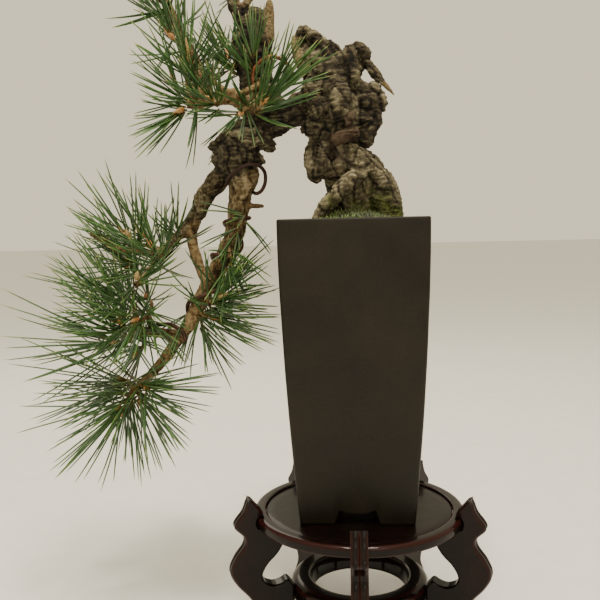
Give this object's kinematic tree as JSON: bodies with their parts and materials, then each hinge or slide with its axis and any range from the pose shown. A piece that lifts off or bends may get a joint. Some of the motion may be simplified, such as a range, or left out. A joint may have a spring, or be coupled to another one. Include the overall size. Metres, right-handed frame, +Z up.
{
  "type": "bonsai tree in a pot",
  "caption": "Cascading pine bonsai in a tall square stoneware pot, on a round lacquered stand with scroll legs.",
  "frame": {"origin": "middle of the whole object's footprint, on the ground under the stand's feet", "axes": "+Z up along the trunk and the object's height; +X away from the side that the tree cascades over; -Y towards the front, where one stand leg faces"},
  "size_m": [0.4309, 0.2434, 0.6396],
  "materials": {
    "lacquered_wood": "glossy dark rosewood lacquer",
    "stoneware": "satin dark olive-brown stoneware",
    "pine_bark": "rough plated bark with lichen",
    "pine_needles": "satin green needles",
    "moss": "matt living moss",
    "soil": "matt porous clay granules",
    "gravel": "matt pumice",
    "plastic_mesh": "matt black",
    "copper_wire": "annealed, dull red-brown",
    "clip_wire": "annealed, dull red-brown"
  },
  "bodies": {
    "root": {"drain_mesh": "plastic_mesh", "drain_mesh_clip": "clip_wire", "drainage_gravel": "gravel", "moss": "moss", "needles_crown_1": "pine_needles", "needles_crown_2": "pine_needles", "needles_crown_3": "pine_needles", "needles_middle_1": "pine_needles", "needles_middle_10": "pine_needles", "needles_middle_11": "pine_needles", "needles_middle_12": "pine_needles", "needles_middle_2": "pine_needles", "needles_middle_3": "pine_needles", "needles_middle_4": "pine_needles", "needles_middle_5": "pine_needles", "needles_middle_6": "pine_needles", "needles_middle_7": "pine_needles", "needles_middle_8": "pine_needles", "needles_middle_9": "pine_needles", "needles_right_1": "pine_needles", "needles_right_2": "pine_needles", "needles_right_3": "pine_needles", "needles_right_4": "pine_needles", "needles_right_5": "pine_needles", "needles_right_6": "pine_needles", "needles_tip_1": "pine_needles", "needles_tip_2": "pine_needles", "needles_tip_3": "pine_needles", "needles_tip_4": "pine_needles", "needles_upper_1": "pine_needles", "needles_upper_10": "pine_needles", "needles_upper_11": "pine_needles", "needles_upper_12": "pine_needles", "needles_upper_13": "pine_needles", "needles_upper_2": "pine_needles", "needles_upper_3": "pine_needles", "needles_upper_4": "pine_needles", "needles_upper_5": "pine_needles", "needles_upper_6": "pine_needles", "needles_upper_7": "pine_needles", "needles_upper_8": "pine_needles", "needles_upper_9": "pine_needles", "pot": "stoneware", "soil": "soil", "stand_leg_1": "lacquered_wood", "stand_leg_2": "lacquered_wood", "stand_leg_3": "lacquered_wood", "stand_leg_4": "lacquered_wood", "stand_leg_5": "lacquered_wood", "stand_panel": "lacquered_wood", "stand_rim": "lacquered_wood", "stand_stretcher_ring": "lacquered_wood", "tree_wood": "pine_bark", "wire_bend": "copper_wire", "wire_cascade": "copper_wire", "wire_crown": "copper_wire", "wire_low_left": "copper_wire"}
  },
  "joints": []
}
